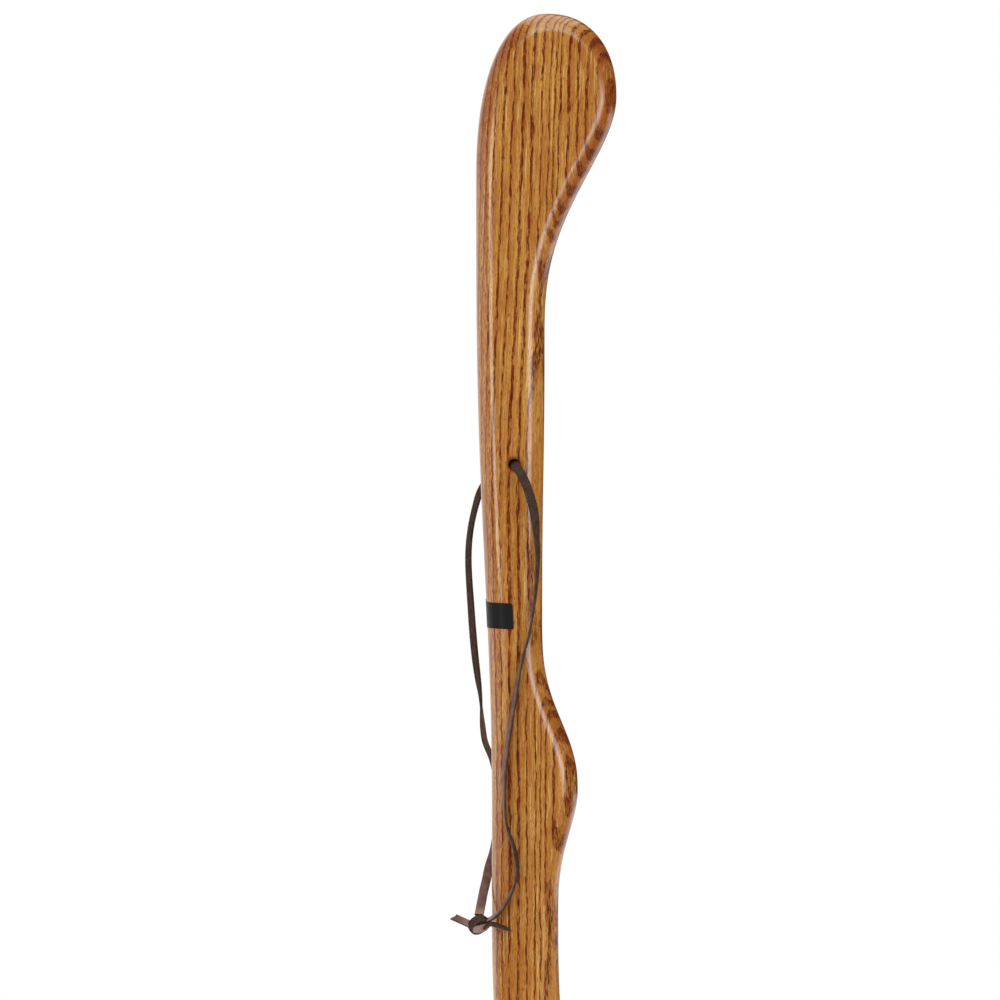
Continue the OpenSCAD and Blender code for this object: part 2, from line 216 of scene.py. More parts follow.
# Turns of the lace round the knot, from its centre: the lower turn shows the lace's smooth side, and the
# upper turn, which lies over it, shows the rough side
LOWER_TURN = [
    (0.0001, 0.0006, 0.0044), (0.0014, 0.002, 0.0028), (0.0032, 0.002, 0.0006), (0.0038, 0, -0.0006),
    (0.0028, -0.0024, -0.0012), (0.0006, -0.0034, -0.0018), (-0.0018, -0.0028, -0.0021),
    (-0.0034, -0.001, -0.0016), (-0.0039, 0, -0.0002),
]
UPPER_TURN = [
    (0.0039, -0.0008, 0.0019), (0.0022, -0.0026, 0.0029), (0.0002, -0.0033, 0.003),
    (-0.002, -0.0035, 0.0019), (-0.0036, -0.0026, 0), (-0.004, -0.0006, -0.0019),
    (-0.0026, 0.0018, -0.0032), (0, 0.0034, -0.0029), (0.0026, 0.0034, -0.0012),
    (0.0042, 0.0014, 0.0004), (0.0036, -0.0008, 0.0008),
]
KNOT_CORE_R = 0.0034

# Fineness of the meshes
EDGE_STEPS = 12
RING_STEP = 0.0016
SHAFT_STEP = 0.012
CROWN_RINGS = 40
FLAT_SHARES = (0.03, 0.25, 0.5, 0.75, 0.97)
CORNER_STEPS = 4
LABEL_COLUMNS = 64
LABEL_ROWS = 10
BROAD_SHARES = (0.5, 0, -0.5)
LACE_STEPS = 6
HOLE_RINGS = 28
CORE_RINGS = 12
ROUND_SEGMENTS = 96
ARC_STEPS = 6
MERGE_GAP = 0.000001
SLIVER = 0.0000001
SHARP_ANGLE = math.radians(35)

# Camera, set to the photograph's frame
FRAME_PX = 1000
PIXEL = 0.00046
AXIS_PX = 525
CROWN_PX = 14.5
CAMERA_FAR = 3.0
# Blender takes this one in millimetres
SENSOR_MM = 36.0


def camera():
    data = bpy.data.cameras.new("photo_camera")
    data.sensor_width = SENSOR_MM
    data.lens = data.sensor_width * CAMERA_FAR / (FRAME_PX * PIXEL)
    made = bpy.data.objects.new("photo_camera", data)
    middle = FRAME_PX / 2
    made.location = ((middle - AXIS_PX) * PIXEL, -CAMERA_FAR, CROWN_Z - (middle - CROWN_PX) * PIXEL)
    made.rotation_euler = (math.radians(90), 0, 0)
    bpy.context.scene.collection.objects.link(made)
    bpy.context.scene.camera = made


# Plain curves

def mix(a, b, t):
    return a + (b - a) * t


def ease(t):
    """Smooth step from 0 to 1 with no kink in its bend at either end."""
    return t ** 3 * (10 - 15 * t + 6 * t * t)


def arc(centre, radius, start, end):
    """Points of an arc in a profile, between two angles in degrees."""
    angles = [math.radians(mix(start, end, i / ARC_STEPS)) for i in range(ARC_STEPS + 1)]
    return [(centre[0] + radius * math.cos(a), centre[1] + radius * math.sin(a)) for a in angles]


def smooth_line(rows, steps):
    """Rows of numbers along a curve through the given rows, with some steps between each two."""
    line = []
    for i in range(len(rows) - 1):
        before, first = rows[max(0, i - 1)], rows[i]
        last, after = rows[i + 1], rows[min(len(rows) - 1, i + 2)]
        for step in range(steps):
            t = step / steps
            line.append([
                b + t * (c - a + t * (2 * a - 5 * b + 4 * c - d + t * (3 * b - a - 3 * c + d))) / 2
                for a, b, c, d in zip(before, first, last, after)
            ])
    return line + [list(rows[-1])]


# Meshes

def make_object(name, points, faces):
    mesh = bpy.data.meshes.new(name)
    mesh.from_pydata(points, [], faces)
    made = bpy.data.objects.new(name, mesh)
    bpy.context.scene.collection.objects.link(made)
    return made


def tidy(made):
    """Merges doubled points, turns faces outwards, and smooths all but the sharp edges."""
    mesh = made.data
    work = bmesh.new()
    work.from_mesh(mesh)
    bmesh.ops.remove_doubles(work, verts=work.verts, dist=MERGE_GAP)
    bmesh.ops.dissolve_degenerate(work, edges=work.edges, dist=SLIVER)
    bmesh.ops.recalc_face_normals(work, faces=work.faces)
    work.to_mesh(mesh)
    work.free()
    mesh.shade_smooth()
    mesh.set_sharp_from_angle(angle=SHARP_ANGLE)
    return made


def loft(name, *runs, finishes=None):
    """Skins runs of rings and closes their ends.

    Finishes hold the material of each strip round a ring of the first run.
    """
    points, faces, indices = [], [], []
    for rings in runs:
        start, count = len(points), len(rings[0])
        points += [point for ring in rings for point in ring]
        for k in range(len(rings) - 1):
            low, high = start + k * count, start + (k + 1) * count
            for i in range(count):
                j = (i + 1) % count
                faces.append((low + i, low + j, high + j, high + i))
                indices.append(finishes[i] if finishes and rings is runs[0] else 0)
        last = start + (len(rings) - 1) * count
        faces += [tuple(range(start, start + count)), tuple(range(last, last + count))]
        indices += [0, 0]
    made = make_object(name, points, faces)
    made.data.polygons.foreach_set("material_index", indices)
    return tidy(made)


def lathe(name, profile):
    """Turned shape from a profile of radius and height."""
    angles = [2 * math.pi * i / ROUND_SEGMENTS for i in range(ROUND_SEGMENTS)]
    return loft(name, [[(r * math.cos(a), r * math.sin(a), z) for a in angles] for r, z in profile])


def dress(made, body, nodes, materials):
    """Gives a piece its body, the solids that it stands for and its materials."""
    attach(made, body)
    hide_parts(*nodes)
    for material in materials:
        made.data.materials.append(material)
    return made


# Outline of the staff, seen from the front

def side_reach(stations, drop):
    """Reach at a drop, eased from each station to the next and then tapering straight to the tip."""
    for (drop_a, reach_a, _), (drop_b, reach_b, turn) in zip(stations, stations[1:]):
        if drop <= drop_b:
            t = max(0, (drop - drop_a) / (drop_b - drop_a))
            return mix(reach_a, reach_b, ease(t ** turn))
    last_drop, last_reach, _ = stations[-1]
    return mix(last_reach, TIP_W / 2, (drop - last_drop) / (TIP_DROP - last_drop))


def crown_out(drop, depth, out, power):
    """Distance out from the crown's peak at a drop, on a superellipse."""
    return out * max(0, 1 - ((depth - drop) / depth) ** power) ** (1 / power)


def side_x(side, drop):
    stations, *crown = SIDES[side]
    if drop < crown[0]:
        return CROWN_REACH + side * crown_out(drop, *crown)
    return side * side_reach(stations, drop)


def crown_normal(drop, depth, out, power):
    """Outward direction in x and z on the crown, from the superellipse's gradient."""
    across = crown_out(drop, depth, out, power) / out
    up = (depth - drop) / depth
    return Vector((across ** (power - 1) / out, up ** (power - 1) / depth)).normalized()


def side_normal(side, drop):
    """Outward direction in x and z on one side."""
    _, *crown = SIDES[side]
    if drop < crown[0]:
        normal = crown_normal(drop, *crown)
        return Vector((side * normal.x, normal.y))
    if drop < LEAN_DROP:
        slope = (side_x(side, drop + SLOPE_STEP) - side_x(side, drop)) / SLOPE_STEP
        return Vector((side, side * slope)).normalized()
    return Vector((side, 0))


def taper(drop):
    """Share of the way down the plain taper, from 0 at the lower bend to 1 at the tip."""
    return max(0, drop - LEAN_DROP) / (TIP_DROP - LEAN_DROP)


def edge_point(x, normal, drop, face, angle, grow=0):
    """Point on a rounded edge: angle 0 is where the flat face ends, and 90 degrees is the side."""
    r = mix(EDGE_R, TIP_W / 2 * TIP_ROUND_SHARE, taper(drop))
    core = mix(BOARD_T, TIP_W, taper(drop)) / 2 - r
    inset = r - (r + grow) * math.sin(angle)
    y = face * (core + (r + grow) * math.cos(angle))
    return Vector((x - normal.x * inset, y, CROWN_Z - drop - normal.y * inset))


def half_ring(side, drop):
    """Round one side of the staff, from the front face to the rear face."""
    x = side_x(side, drop)
    normal = side_normal(side, drop)
    angles = [math.pi / 2 * i / EDGE_STEPS for i in range(EDGE_STEPS + 1)]
    front = [edge_point(x, normal, drop, -1, a) for a in angles]
    rear = [edge_point(x, normal, drop, 1, a) for a in reversed(angles)]
    return front + rear


def staff_ring(drop):
    left = half_ring(-1, drop)
    right = half_ring(1, drop)
    rear = [left[-1].lerp(right[-1], share) for share in FLAT_SHARES]
    front = [right[0].lerp(left[0], share) for share in FLAT_SHARES]
    return left + rear + right[::-1] + front


def ring_drops():
    """Drops of the rings: close together on the head, grip and swell, and wide apart down the shaft."""
    crown = [HEAD_DROP * (1 - math.cos(math.pi / 2 * i / CROWN_RINGS)) for i in range(CROWN_RINGS)]
    grip_count = round((LEAN_DROP - HEAD_DROP) / RING_STEP)
    grip = [mix(HEAD_DROP, LEAN_DROP, i / grip_count) for i in range(grip_count)]
    shaft_count = round((TIP_DROP - LEAN_DROP) / SHAFT_STEP)
    shaft = [mix(LEAN_DROP, TIP_DROP, i / shaft_count) for i in range(shaft_count + 1)]
    return crown + grip + shaft


def tip_ring(ring, radius, z):
    """Round ring of the turned tip, with its points in line with those of the ring above."""
    return [Vector((p.x, p.y, 0)).normalized() * radius + Vector((0, 0, z)) for p in ring]


def hole_cutter():
    """Drill for the lace's hole, with its mouths eased."""
    half = BOARD_T / 2
    mouth = HOLE_R + HOLE_CHAMFER
    past = half + HOLE_CHAMFER
    front = [(0, -past), (mouth, -past), (mouth, -half), (HOLE_R, HOLE_CHAMFER - half)]
    made = lathe("hole_cutter", front + [(radius, -height) for radius, height in reversed(front)])
    made.rotation_euler = (math.radians(90), 0, 0)
    made.location = HOLE
    return made


def drill(made, cutter):
    """Cuts one object by another and keeps the result as a plain mesh."""
    cut = made.modifiers.new("hole", "BOOLEAN")
    cut.object = cutter
    cut.operation = "DIFFERENCE"
    cut.solver = "EXACT"
    bpy.context.view_layer.update()
    solid = made.evaluated_get(bpy.context.evaluated_depsgraph_get())
    mesh = bpy.data.meshes.new_from_object(solid)
    made.modifiers.clear()
    made.data = mesh
    bpy.data.objects.remove(cutter)


def staff():
    rings = [staff_ring(drop) for drop in ring_drops()]
    end = rings[-1]
    tip_r = TIP_D / 2
    rings.append(tip_ring(end, tip_r, WOOD_END_Z))
    rings.append(tip_ring(end, tip_r, SEAT_Z + TIP_CHAMFER))
    rings.append(tip_ring(end, tip_r - TIP_CHAMFER, SEAT_Z))
    made = loft("shaped_staff", rings)
    drill(made, hole_cutter())
    tidy(made)
    for face in made.data.polygons:
        away = face.center - HOLE
        near_hole = math.hypot(away.x, away.z) < HOLE_R + HOLE_CHAMFER
        face.material_index = 1 if near_hole and abs(face.normal.y) < BARE_FACING_SHARE else 0
    return dress(made, "staff_body", ["staff"], [wood(), shaded_bare_wood()])


# Label

def label_point(share, drop, grow):
    """Point on the skin of the wood, at a share of the wrap from the front flap to the rear flap."""
    along = share * LABEL_WRAP
    rear = along > LABEL_FLAP + EDGE_ARC + SIDE_W / 2
    face = 1 if rear else -1
    near = LABEL_WRAP - along if rear else along
    angle = min(max((near - LABEL_FLAP) / EDGE_R, 0), math.pi / 2)
    point = edge_point(side_x(-1, drop), side_normal(-1, drop), drop, face, angle, grow)
    if near < LABEL_FLAP:
        point.x += LABEL_FLAP - near
    if near > LABEL_FLAP + EDGE_ARC:
        point.y -= face * (near - LABEL_FLAP - EDGE_ARC)
    return point


def label_shares():
    """Shares of the wrap at which the label has a column of points, close together at its corners."""
    corner_share = LABEL_CORNER / LABEL_WRAP
    corner = [corner_share * (i / CORNER_STEPS) ** 2 for i in range(CORNER_STEPS)]
    middle = [mix(corner_share, 1 - corner_share, i / LABEL_COLUMNS) for i in range(LABEL_COLUMNS + 1)]
    return corner + middle + [1 - share for share in reversed(corner)]


def label_layer(shares, grow):
    """Points of one skin of the label, off the wood by a distance, in columns from top to bottom."""
    points = []
    for share in shares:
        end = min(share, 1 - share) * LABEL_WRAP
        short = max(0, LABEL_CORNER - end)
        inset = LABEL_CORNER - math.sqrt(LABEL_CORNER ** 2 - short ** 2)
        slant = LABEL_WRAP * (0.5 - share) * math.tan(LABEL_SLANT)
        for row in range(LABEL_ROWS + 1):
            drop = LABEL_DROP + slant + mix(inset, LABEL_H - inset, row / LABEL_ROWS)
            points.append(label_point(share, drop, grow))
    return points


def shell_faces(columns, rows):
    """Faces of two skins of points in columns, and of the edge between them."""
    size = columns * rows
    faces = []
    for k in range(columns - 1):
        for row in range(rows - 1):
            a = k * rows + row
            faces.append((a, a + 1, a + rows + 1, a + rows))
            faces.append((size + a, size + a + rows, size + a + rows + 1, size + a + 1))
        for row in (0, rows - 1):
            a = k * rows + row
            faces.append((a, a + rows, size + a + rows, size + a))
    for k in (0, columns - 1):
        for row in range(rows - 1):
            a = k * rows + row
            faces.append((a, a + 1, size + a + 1, size + a))
    return faces


def label():
    """Thin film that wraps the straight side, with rounded corners."""
    shares = label_shares()
    points = label_layer(shares, LABEL_GLUE) + label_layer(shares, LABEL_GLUE + LABEL_T)
    made = make_object("blank_label", points, shell_faces(len(shares), LABEL_ROWS + 1))
    tidy(made)
    return dress(made, "staff_body", ["label"], [label_film()])


# Ferrule

def ferrule():
    """Rubber ferrule: a flared, treaded foot under a collared socket."""
    socket_r = TIP_D / 2 + FIT_GAP
    wall_r = socket_r + SOCKET_WALL
    flare = FOOT_R - wall_r
    collar_r = wall_r + COLLAR_STEP
    collar_z = RIM_Z - COLLAR_H
    pitch = FOOT_R / (TREADS + 1)
    profile = [(0, 0)]
    for i in range(1, TREADS + 1):
        near, far = i * pitch, i * pitch + TREAD_W
        profile += [(near, 0), (near, TREAD_DEPTH), (far, TREAD_DEPTH), (far, 0)]
    profile += arc((FOOT_R - RUBBER_ROUND, RUBBER_ROUND), RUBBER_ROUND, -90, 0)
    profile += arc((FOOT_R - RUBBER_ROUND, FOOT_H - RUBBER_ROUND), RUBBER_ROUND, 0, 90)
    profile += arc((wall_r + flare, FOOT_H + flare), flare, 270 - ARC_SHORT, 180)
    profile += arc((collar_r, collar_z - COLLAR_STEP), COLLAR_STEP, 180, 90 + ARC_SHORT)
    lip_r = COLLAR_STEP / 2
    profile += arc((collar_r - lip_r, collar_z + lip_r), lip_r, ARC_SHORT - 90, 0)
    profile += arc((collar_r - RUBBER_ROUND, RIM_Z - RUBBER_ROUND), RUBBER_ROUND, 0, 90)
    profile += [(socket_r + LEAD_IN, RIM_Z), (socket_r, RIM_Z - LEAD_IN), (socket_r, SOLE_T), (0, SOLE_T)]
    made = lathe("rubber_ferrule", profile)
    return dress(made, "ferrule_body", ["ferrule"], [rubber()])


# Leather lace

def lace_section():
    """Rounded strip as across and through, round from one broad side to the other."""
    half_w = LACE_W / 2 - LACE_ROUND
    half_t = LACE_T / 2 - LACE_ROUND
    section = []
    for corner, (sign_w, sign_t) in enumerate([(1, 1), (-1, 1), (-1, -1), (1, -1)]):
        for step in range(CORNER_STEPS):
            angle = math.pi / 2 * (corner + step / (CORNER_STEPS - 1))
            section.append((
                sign_w * half_w + LACE_ROUND * math.cos(angle),
                sign_t * half_t + LACE_ROUND * math.sin(angle),
            ))
        if sign_w == sign_t:
            section += [(sign_w * half_w * share, sign_t * (half_t + LACE_ROUND)) for share in BROAD_SHARES]
    return section


def lace_finishes(smooth_side):
    """Material of each strip round the section: 1 on the smooth side to its edges, and 0 elsewhere."""
    section = lace_section()
    ends = zip(section, section[1:] + section[:1])
    return [1 if (a[1] + b[1]) * smooth_side > LACE_T - 2 * LACE_ROUND else 0 for a, b in ends]


def directions(places):
    """Direction of travel at each place."""
    last = len(places) - 1
    return [(places[min(last, i + 1)] - places[max(0, i - 1)]).normalized() for i in range(last + 1)]


def square_to(vector, along):
    """Unit vector nearest to a given one and square to the direction of travel."""
    return (vector - vector.dot(along) * along).normalized()


def lace_ring(place, along, across, cut=0):
    through = along.cross(across)
    return [place + across * a + through * b - along * (a * cut) for a, b in lace_section()]


def route_rings(places, turns, level=False, lift=0, cut=0):
    """Rings along a route. The lift turns the flat side up at the start, and the cut slants the end."""
    rings = []
    travel = directions(places)
    for i, (place, turn, along) in enumerate(zip(places, turns, travel)):
        raised = lift * fade((place - places[0]).length)
        across = Vector((math.cos(turn) * math.cos(raised), math.sin(turn), math.sin(raised)))
        if level:
            across = Vector((0, math.sin(turn), math.cos(turn)))
        slant = cut if i == len(places) - 1 else 0
        rings.append(lace_ring(place, along, square_to(across, along), slant))
    return rings


def fade(distance):
    """Share that is left of what holds at a mouth of the hole, at a distance from it."""
    return 1 - ease(min(1, distance / MOUTH_FADE))


def lace(name, start, route, node, pull=Vector(), **shape):
    """Strip of lace along a route."""
    rows = smooth_line(route, LACE_STEPS)
    places = [start + Vector(row[:3]) for row in rows]
    places = [place + pull * fade((place - start).length) for place in places]
    turns = [math.radians(row[3]) for row in rows]
    made = loft(name, route_rings(places, turns, **shape), finishes=lace_finishes(-1))
    dress(made, "lanyard_body", [node], leathers())
    return made, [list(place) for place in places]


def lace_in_hole():
    """Lace in the hole, which it fills where it is squeezed and twisted half way through."""
    rings = []
    section = lace_section()
    for i in range(HOLE_RINGS + 1):
        share = i / HOLE_RINGS
        lift = mix(FRONT_LIFT, REAR_LIFT, share)
        squeeze = min(1, PLUG_PUSH * math.sin(math.pi * share))
        pull = FRONT_PULL.lerp(REAR_PULL, share) * (1 - squeeze)
        place = FRONT_MOUTH.lerp(REAR_MOUTH, share) + pull
        across = Vector((math.cos(lift), 0, math.sin(lift)))
        through = Vector((math.sin(lift), 0, -math.cos(lift)))
        ring = []
        for k, flat in enumerate(section):
            turn = 2 * math.pi * (k + 0.5) / len(section)
            full = Vector((math.cos(turn), math.sin(turn))) * HOLE_R
            point = Vector(flat).lerp(full, squeeze)
            ring.append(place + across * point.x + through * point.y)
        rings.append(ring)
    made = loft("lace_in_hole", rings)
    return dress(made, "lanyard_body", ["lace_through_hole"], leathers())


def turn_rings(turn):
    """Rings of a turn of lace that lies bent round the knot."""
    places = [Vector(row) for row in smooth_line(turn, LACE_STEPS)]
    rings = []
    for place, along in zip(places, directions(places)):
        across = square_to(place, along).cross(along)
        depth = place.length
        rings.append([KNOT + (place + across * a).normalized() * (depth + b) for a, b in lace_section()])
    return rings


def core_rings():
    """Round heart of the knot, so that no light shows between its turns."""
    count = len(lace_section())
    rings = []
    for i in range(CORE_RINGS + 1):
        tilt = math.pi * i / CORE_RINGS
        r, z = KNOT_CORE_R * math.sin(tilt), KNOT_CORE_R * math.cos(tilt)
        angles = [2 * math.pi * k / count for k in range(count)]
        rings.append([KNOT + Vector((r * math.cos(a), r * math.sin(a), z)) for a in angles])
    return rings


def knot():
    """Overhand knot: a turn with the smooth side out, under a turn with the rough side out."""
    lower = loft("knot_lower_turn", turn_rings(LOWER_TURN), core_rings(), finishes=lace_finishes(1))
    upper = loft("knot_upper_turn", turn_rings(UPPER_TURN), finishes=lace_finishes(-1))
    for made in (lower, upper):
        dress(made, "lanyard_body", ["lanyard_knot"], leathers())
    return lower, upper


def lanyard():
    front, front_path = lace(
        "front_strand", FRONT_MOUTH, FRONT_ROUTE, "lace_front_strand", pull=FRONT_PULL, lift=FRONT_LIFT,
    )
    rear, rear_path = lace(
        "rear_strand", REAR_MOUTH, REAR_ROUTE, "lace_rear_strand", pull=REAR_PULL, lift=REAR_LIFT,
    )
    left, _ = lace(
        "left_tail", KNOT, LEFT_TAIL_ROUTE, "lace_left_tail", level=True, cut=LEFT_CUT,
    )
    right, _ = lace(
        "right_tail", KNOT, RIGHT_TAIL_ROUTE, "lace_right_tail", level=True, cut=RIGHT_CUT,
    )
    lower, upper = knot()
    lace_in_hole()


# Materials

def new_material(name):
    material = bpy.data.materials.new(name)
    material.use_nodes = True
    return material, material.node_tree, material.node_tree.nodes["Principled BSDF"]


def fill(node, inputs):
    """Links each input of a node to a socket, or sets it to a value."""
    for key, value in inputs.items():
        if isinstance(value, bpy.types.NodeSocket):
            node.id_data.links.new(value, node.inputs[key])
        else:
            node.inputs[key].default_value = value


def add(owner, kind, inputs=None, **settings):
    """Adds a node to a tree, or to the tree of a socket, with its settings and its inputs."""
    made = owner.id_data.nodes.new(kind)
    for key, value in settings.items():
        setattr(made, key, value)
    fill(made, inputs or {})
    return made


def sums(operation, a, b=0.0):
    return add(a, "ShaderNodeMath", {0: a, 1: b}, operation=operation).outputs[0]


def times(a, b):
    return sums("MULTIPLY", a, b)


def most(a, b):
    return sums("MAXIMUM", a, b)


def place_on(tree):
    """Place on the piece, in metres."""
    return add(tree, "ShaderNodeTexCoord").outputs["Object"]


def parts_of(vector):
    return add(vector, "ShaderNodeSeparateXYZ", {0: vector}).outputs


def length_of(vector):
    return add(vector, "ShaderNodeVectorMath", {0: vector}, operation="LENGTH").outputs["Value"]


def face_length(x, z):
    """Length of a vector in the plane of the front face."""
    return length_of(add(x, "ShaderNodeCombineXYZ", {0: x, 2: z}).outputs[0])


def noise(place, size, detail=2.0):
    """Noise from 0 to 1, with features of a size in metres along each axis."""
    scale = [1 / length for length in size]
    stretched = add(place, "ShaderNodeMapping", {"Vector": place, "Scale": scale}).outputs[0]
    inputs = {"Vector": stretched, "Scale": 1.0, "Detail": detail}
    return add(place, "ShaderNodeTexNoise", inputs).outputs[0]


def remap(value, low, high, to_low=0.0, to_high=1.0):
    inputs = {"Value": value, "From Min": low, "From Max": high, "To Min": to_low, "To Max": to_high}
    return add(value, "ShaderNodeMapRange", inputs, interpolation_type="SMOOTHSTEP").outputs[0]


def mark(place, size, shares, detail=1.0):
    """How far a place is on a mark, which starts at one share of the noise and is full at another."""
    return remap(noise(place, size, detail), *shares)


def blend(share, a, b):
    """Colour between two colours."""
    return add(share, "ShaderNodeMix", {0: share, 6: a, 7: b}, data_type="RGBA").outputs[2]


def facing(vector, way):
    """How far a vector reaches in a given direction."""
    inputs = {0: vector, 1: way}
    return add(vector, "ShaderNodeVectorMath", inputs, operation="DOT_PRODUCT").outputs["Value"]


def bumped(height, strength, depth):
    inputs = {"Height": height, "Strength": strength, "Distance": depth}
    return add(height, "ShaderNodeBump", inputs).outputs[0]


# Growth rings of the wood, across the board at an angle, with a stretch of narrow rings
RING_W = 0.00325
RING_ANGLE = math.radians(40)
RING_WAY = (math.cos(RING_ANGLE), -math.sin(RING_ANGLE), 0)
RING_START = -0.0034
NARROW_FROM = 0.011
NARROW_TO = 0.0175
NARROW_RINGS = 1.25
# Sways of the rings, finest first: size across and along the grain, reach and detail of the noise
SWAYS = [
    ((0.003, 0.003, 0.0065), 0.00042, 2.0),
    ((0.005, 0.005, 0.03), 0.0006, 2.0),
    ((0.05, 0.05, 0.2), 0.0012, 1.0),
]
# The grain leans in the head
GRAIN_TILT = 0.038
GRAIN_TILT_DROP = 0.2
# Sizes of the wood's marks across and along the grain
LINE_SIZE = (0.0009, 0.0009, 0.0055)
LONG_PORE_SIZE = (0.0006, 0.0006, 0.005)
SHORT_PORE_SIZE = (0.0004, 0.0004, 0.0026)
DASH_SIZE = (0.00036, 0.00036, 0.003)
DOT_SIZE = (0.0004, 0.0004, 0.0005)
STREAK_SIZE = (0.0012, 0.0012, 0.025)
# Painted glints: pale streaks along the grain that stand for light caught by the lacquer
PAINTED_GLINT_SIZE = (0.0009, 0.0009, 0.022)
FIBRE_SIZE = (0.0006, 0.0006, 0.008)
SPECK_SIZE = (0.0005, 0.0005, 0.0012)
CLOUD_SIZE = (0.012, 0.012, 0.08)
# Shares of the noise at which each mark starts and is full
EVEN_SHARES = (0.3, 0.7)
LINE_SHARES = (0.43, 0.59)
LONG_PORE_SHARES = (0.5, 0.58)
SHORT_PORE_SHARES = (0.54, 0.63)
DASH_NOISE_SHARES = (0.6, 0.68)
DOT_SHARES = (0.5, 0.6)
STREAK_NOISE_SHARES = (0.46, 0.66)
PAINTED_GLINT_NOISE_SHARES = (0.6, 0.75)
SPECK_NOISE_SHARES = (0.35, 0.75)
# Shares of a ring: where its belt of pores is full, how wide the belt is at least and at most, what end
# grain and rings that lie flat add to it, where it starts to fade, and where the ring's tint fades
BELT_RISE_SHARE = 0.04
BELT_SHARES = (0.22, 0.4)
END_BELT_SHARE = 0.15
LYING_BELT_SHARE = 0.2
BELT_FADE_SHARE = 0.75
TINT_FADE_SHARES = (0.2, 0.8)
# What is left of the dark line in its gaps, where the rings lie flat, and on end grain
LINE_GAP_SHARE = 0.1
LYING_LINE_SHARE = 0.5
END_LINE_SHARE = 0.65
# How far the surface turns where it is crown, end grain and side of the head, and how far it faces across
# the rings where they lie flat in it or cross it
CROWN_UP_SHARES = (0.5, 0.95)
CROWN_SLOPE_SHARES = (0.03, 0.15)
END_GRAIN_SHARES = (0.03, 0.36)
HEAD_SLOPE_SHARES = (0.2, 0.7)
LYING_SHARES = (0.8, 1)
CROSSING_SHARES = (0.1, 0.6)
CROSSING_DASH_SHARE = 0.09
# Least slope that is divided by
LEAST_SLOPE_SHARE = 0.02
# The crown keeps little staining, so that it is painted paler as if lit from above
# Stain on end grain off and on the crown, darkening down the sides of the head, and painted shade round the
# hole
LIT_CROWN_DARKENING_SHARES = (0.6, 0.12)
HEAD_SIDE_DARKENING_SHARE = 0.6
HEAD_DARKENING_DROP = 0.12
HEAD_DARKENING_FULL_DROP = 0.05
HOLE_SHADE_REACH = 0.0022
# What is left of the end grain's marks on the crown
CROWN_END_SHARE = 0.4
# Darker heart along one side of the board
HEART_FROM = 0.02
HEART_TO = 0.034
# How far each mark takes the colour of the wood to its own
CLOUD_SHARE = 0.35
FIBRE_SHARE = 0.65
STREAK_SHARE = 0.45
SPECK_SHARE = 0.4
TINT_SHARE = 0.45
HEART_SHARE = 0.7
PAINTED_GLINT_SHARE = 0.5
# Share of the painted light that makes the crown paler
CROWN_PAINTED_LIGHT_SHARE = 0.25
DASH_SHARE = 0.8
PORE_SHARE = 0.9
GOLD = (0.438, 0.166, 0.0185, 1)
PALE_GOLD = (0.7, 0.372, 0.081, 1)
# Colour of the painted glints
PAINTED_GLINT = (0.9, 0.594, 0.185, 1)
AMBER = (0.388, 0.104, 0.01, 1)
RED_BROWN = (0.25, 0.035, 0.0015, 1)
PORE = (0.119, 0.0125, 0.000625, 1)
# Lacquer and relief
PORE_DEPTH = 0.00015
LACQUER_IOR = 2.05
LACQUER_ROUGHNESS = 0.18
LACQUER_BUMP = 0.06
WOOD_ROUGHNESS = (0.45, 0.6)
WOOD_BUMP = 0.4
FIBRE_RISE_SHARE = 0.25


def grain_place(parts):
    """Place in the wood, moved so that the leaning grain of the head runs straight up."""
    above = most(sums("SUBTRACT", parts[2], CROWN_Z - GRAIN_TILT_DROP), 0.0)
    x = sums("SUBTRACT", parts[0], times(above, GRAIN_TILT))
    return add(x, "ShaderNodeCombineXYZ", {0: x, 1: parts[1], 2: parts[2]}).outputs[0]


def ring_depth(grain):
    """Distance across the growth rings, wandering slowly and wavering finely along the staff."""
    sway = 0.0
    for size, reach, detail in SWAYS:
        sway = sums("ADD", remap(noise(grain, size, detail), 0, 1, -reach, reach), sway)
    return sums("ADD", facing(grain, RING_WAY), sway)


def ring_count(depth):
    """Number of growth rings up to a depth."""
    even = sums("DIVIDE", sums("SUBTRACT", depth, RING_START), RING_W)
    return sums("ADD", even, remap(depth, NARROW_FROM, NARROW_TO, 0, NARROW_RINGS))


def surface(normal):
    """How far the surface slopes from the front or rear face, is crown, and is end grain."""
    slope = face_length(normal[0], normal[2])
    upward = sums("DIVIDE", normal[2], most(slope, LEAST_SLOPE_SHARE))
    crown = times(remap(upward, *CROWN_UP_SHARES), remap(slope, *CROWN_SLOPE_SHARES))
    end_grain = remap(sums("ABSOLUTE", normal[2]), *END_GRAIN_SHARES)
    return slope, crown, end_grain


def stain_and_painted_shade(parts, slope, crown, end_grain):
    """How far the wood is darkened. Staining goes deeper where the grain ends at the surface, but little of
    it is kept on the crown, which is painted paler as lit from above. The sides of the head are darker, and
    a ring round the hole is painted shade.
    """
    # Little staining or darkening is kept on the crown, which is left paler as painted light from above
    tone_share = remap(crown, 0, 1, *LIT_CROWN_DARKENING_SHARES)
    # Darker down the sides of the head
    head = remap(parts[2], CROWN_Z - HEAD_DARKENING_DROP, CROWN_Z - HEAD_DARKENING_FULL_DROP)
    head = times(head, remap(slope, *HEAD_SLOPE_SHARES))
    head = times(head, times(tone_share, HEAD_SIDE_DARKENING_SHARE))
    hole_x = sums("SUBTRACT", parts[0], HOLE.x)
    hole_z = sums("SUBTRACT", parts[2], HOLE.z)
    from_hole = face_length(hole_x, hole_z)
    # Painted shade: a darker ring on the wood round the hole's mouth
    hole_shade = remap(from_hole, HOLE_R, HOLE_R + HOLE_SHADE_REACH, 1, 0)
    return most(times(end_grain, tone_share), most(head, hole_shade))


def belt(start, ring, width):
    """Belt that takes up the first part of each ring."""
    return times(start, remap(ring, times(width, BELT_FADE_SHARE), width, 1, 0))


